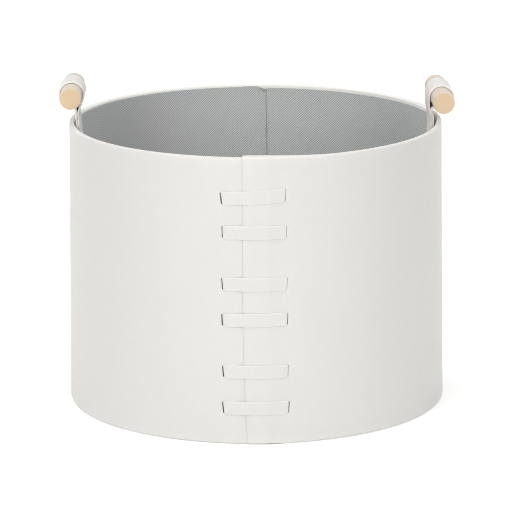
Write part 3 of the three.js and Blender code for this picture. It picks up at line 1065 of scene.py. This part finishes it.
def felted(name, color):
    """Non-woven cloth: matted fibres pressed with a grid of small points."""
    finish = Finish(name, 0.95, specular=0.15, sheen=0.2)
    place = finish.place()
    fibres = finish.noise(place, 1400.0, 6.0, 0.75)
    clouds = finish.noise(place, 60.0, 4.0, 0.6)
    points = finish.node("ShaderNodeTexVoronoi", {"Vector": place, "Scale": 420.0, "Randomness": 0.12})
    pressed = finish.ramp(points.outputs["Distance"], 0.14, 0.3)
    tone = finish.mix(finish.ramp(fibres, 0.3, 0.7), scaled(color, 0.88), color)
    tone = finish.mix(finish.ramp(clouds, 0.3, 0.7, 0.0, 0.25), tone, scaled(color, 0.9))
    tone = finish.mix(finish.ramp(pressed, 0.0, 1.0, 0.35, 0.0), tone, scaled(color, 0.78))
    finish.link("Base Color", tone)
    height = finish.math("ADD", finish.math("MULTIPLY", fibres, 0.35), pressed)
    finish.link("Normal", finish.bump(height, 0.00018, 0.7))
    return finish.material


def rod_wood(name, color, end_color):
    """Raw pale hardwood: growth rings round a pith beside the rod, fine rays, short pores and
    warmer end grain."""
    finish = Finish(name, 0.5, specular=0.35)
    place = finish.place()
    x, y, z = finish.split(place)
    drift = finish.noise(place, 60.0, 3.0, 0.55, (1.0, 0.12, 1.0))
    across = finish.math("SUBTRACT", x, 0.017)
    up = finish.math("ADD", z, 0.009)
    squares = finish.math("ADD", finish.math("MULTIPLY", across, across), finish.math("MULTIPLY", up, up))
    radius = finish.math("ADD", finish.math("SQRT", squares), finish.ramp(drift, 0.0, 1.0, -0.0012, 0.0012))
    rings = finish.math("FRACT", finish.math("MULTIPLY", radius, 620.0))
    late = finish.math("POWER", rings, 3.0)
    fibres = finish.noise(place, 1500.0, 4.0, 0.65, (1.0, 0.03, 1.0))
    pores = finish.noise(place, 2600.0, 2.0, 0.5, (1.0, 0.05, 1.0))
    clouds = finish.noise(place, 70.0, 3.0, 0.55, (1.0, 0.3, 1.0))
    tone = finish.mix(late, color, [color[0] * 0.9, color[1] * 0.83, color[2] * 0.74])
    tone = finish.mix(finish.ramp(fibres, 0.35, 0.65, 0.0, 0.35), tone, scaled(color, 0.84))
    tone = finish.mix(finish.ramp(pores, 0.62, 0.7, 0.0, 0.45), tone, scaled(color, 0.6))
    tone = finish.mix(finish.ramp(clouds, 0.3, 0.7, 0.0, 0.3), tone, scaled(color, 1.06))
    cut = finish.math("GREATER_THAN", finish.math("ABSOLUTE", y), (ROD_LENGTH / 2 - 0.15) * MM)
    tone = finish.mix(finish.math("MULTIPLY", cut, 0.85), tone, end_color)
    finish.link("Base Color", tone)
    finish.link("Roughness", finish.ramp(fibres, 0.2, 0.8, 0.46, 0.62))
    height = finish.math("ADD", fibres, finish.math("MULTIPLY", late, 0.3))
    finish.link("Normal", finish.bump(height, 0.00005, 0.5))
    return finish.material


def thread(name, color):
    """Twisted polyester thread."""
    finish = Finish(name, 0.6, specular=0.4, sheen=0.2)
    place = finish.place()
    twist = finish.noise(place, 3200.0, 2.0)
    tone = finish.mix(finish.ramp(twist, 0.3, 0.7), scaled(color, 0.8), color)
    finish.link("Base Color", tone)
    finish.link("Normal", finish.bump(twist, 0.00008, 0.7))
    return finish.material


def dress(piece, material):
    piece.data.materials.clear()
    piece.data.materials.append(material)
    return piece


# Stage


def add_camera():
    """Looks at the front from a little above, from three metres away."""
    data = bpy.data.cameras.new("camera")
    data.sensor_width = 36.0
    data.lens = 244.0
    data.clip_start = 0.05
    data.clip_end = 50.0
    camera = bpy.data.objects.new("camera", data)
    pitch = math.radians(90 - 13.78)
    level = math.radians(-0.32)
    turn = Matrix.Rotation(pitch, 4, "X") @ Matrix.Rotation(level, 4, "Z")
    camera.matrix_world = Matrix.Translation((0.0012, -2.988, 0.8546)) @ turn
    bpy.context.scene.collection.objects.link(camera)
    bpy.context.scene.camera = camera


# Soft lights: bearing, elevation, distance in metres, width and height in metres, and watts
LIGHTS = {
    "top": (0, 88, 2.6, 2.4, 2.4, 20),
    "high_left": (-50, 55, 3.0, 1.2, 1.2, 18),
    "key_left": (-40, 35, 4.5, 2.1, 2.1, 41),
    "key_right": (40, 35, 4.5, 2.1, 2.1, 71),
    "low_front": (-15, 12, 5.4, 2.1, 1.5, 63),
    "overhead": (180, 60, 2.6, 1.6, 1.6, 7.5),
    "back_left": (-140, 25, 3.0, 1.2, 1.8, 27),
    "back_right": (140, 25, 3.0, 1.2, 1.8, 27),
}
LIGHTS_AIM = Vector((0, 0, 0.15))


def add_lights():
    for name, (bearing, elevation, distance, width, height, power) in LIGHTS.items():
        data = bpy.data.lights.new(name, "AREA")
        data.shape = "RECTANGLE"
        data.size = width
        data.size_y = height
        data.energy = power
        light = bpy.data.objects.new(name, data)
        bearing, elevation = math.radians(bearing), math.radians(elevation)
        level = math.cos(elevation)
        away = Vector((math.sin(bearing) * level, -math.cos(bearing) * level, math.sin(elevation)))
        light.location = LIGHTS_AIM + distance * away
        light.rotation_mode = "QUATERNION"
        light.rotation_quaternion = away.to_track_quat("Z", "Y")
        bpy.context.scene.collection.objects.link(light)


def add_stage():
    world = bpy.data.worlds.new("studio")
    bpy.context.scene.world = world
    world.use_nodes = True
    sky = world.node_tree.nodes["Background"]
    sky.inputs["Color"].default_value = (1, 1, 1, 1)
    sky.inputs["Strength"].default_value = 0.15
    reach = 6000
    corners = [(x * reach, y * reach, -0.1) for x, y in ((-1, -1), (1, -1), (1, 1), (-1, 1))]
    ground = mesh_object("ground", corners, [(0, 1, 2, 3)])
    paper = Finish("paper", 0.9, specular=0.1)
    grain = paper.noise(paper.place(), 40.0, 3.0)
    paper.link("Base Color", paper.mix(grain, (0.88, 0.88, 0.88), (0.9, 0.9, 0.9)))
    paper.shader.inputs["Emission Color"].default_value = (1, 1, 1, 1)
    paper.shader.inputs["Emission Strength"].default_value = 0.22
    ground.data.materials.append(paper.material)
    add_lights()
    bpy.context.scene.view_settings.view_transform = "Standard"
    bpy.context.scene.cycles.filter_width = 1.0


# The bin


COVER_COLOR = (0.648, 0.635, 0.61)
STRAP_COLOR = (0.785, 0.77, 0.74)
BOARD_COLOR = (0.38, 0.32, 0.25)


def build():
    cover_leather = leather("cover_leather", COVER_COLOR, 1500.0, 0.5, (0.82, 0.805, 0.775))
    strap_leather = leather("strap_leather", STRAP_COLOR, 2100.0, 0.46, (0.8, 0.77, 0.72))
    lining_twill = twill("lining_twill", (0.164, 0.17, 0.172), (0.73, 0.748, 0.743))
    board = cardboard("grey_board", BOARD_COLOR)

    cover = dress(make_cover(), cover_leather)
    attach(cover, "bin")
    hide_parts("outer_cover")
    length = math.radians(360 + LAP_END - LAP_START) * BASE_RADIUS

    lining = dress(make_lining(), lining_twill)
    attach(lining, "bin")
    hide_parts("lining_wall")

    floor = dress(make_lining_floor(), lining_twill)
    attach(floor, "bin")
    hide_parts("lining_floor")

    underside = dress(make_underside(), felted("panel_cloth", (0.68, 0.66, 0.62)))
    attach(underside, "bin")
    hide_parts("bottom_panel")

    for number in range(len(LACES)):
        lace = dress(make_lace(number), cover_leather)
        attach(lace, "bin")
        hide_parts(f"lace_{number + 1}")

    wood = rod_wood("dowel_wood", (0.69, 0.615, 0.525), (0.63, 0.46, 0.276))
    sewing = thread("sewing_thread", (0.8, 0.78, 0.74))
    for side in ("left", "right"):
        handle = handle_frame(side)
        seam = dress(make_tail_stitching(side), sewing)
        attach(seam, "bin")
        strap = dress(make_strap(side), strap_leather)
        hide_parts(f"strap_tail_{side}", f"strap_loop_{side}")
        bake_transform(strap)
        line = strap_line(handle, handle["height"])
        length = sum(math.dist(start, end) for start, end in zip(line, line[1:]))
        rod = dress(make_rod(side), wood)
        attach(rod, f"dowel_{side}")
        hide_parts(f"dowel_{side}")

    for node in ("wall_board", "base_board"):
        dress(frame["nodes"][node], board)


add_camera()
add_stage()
build()
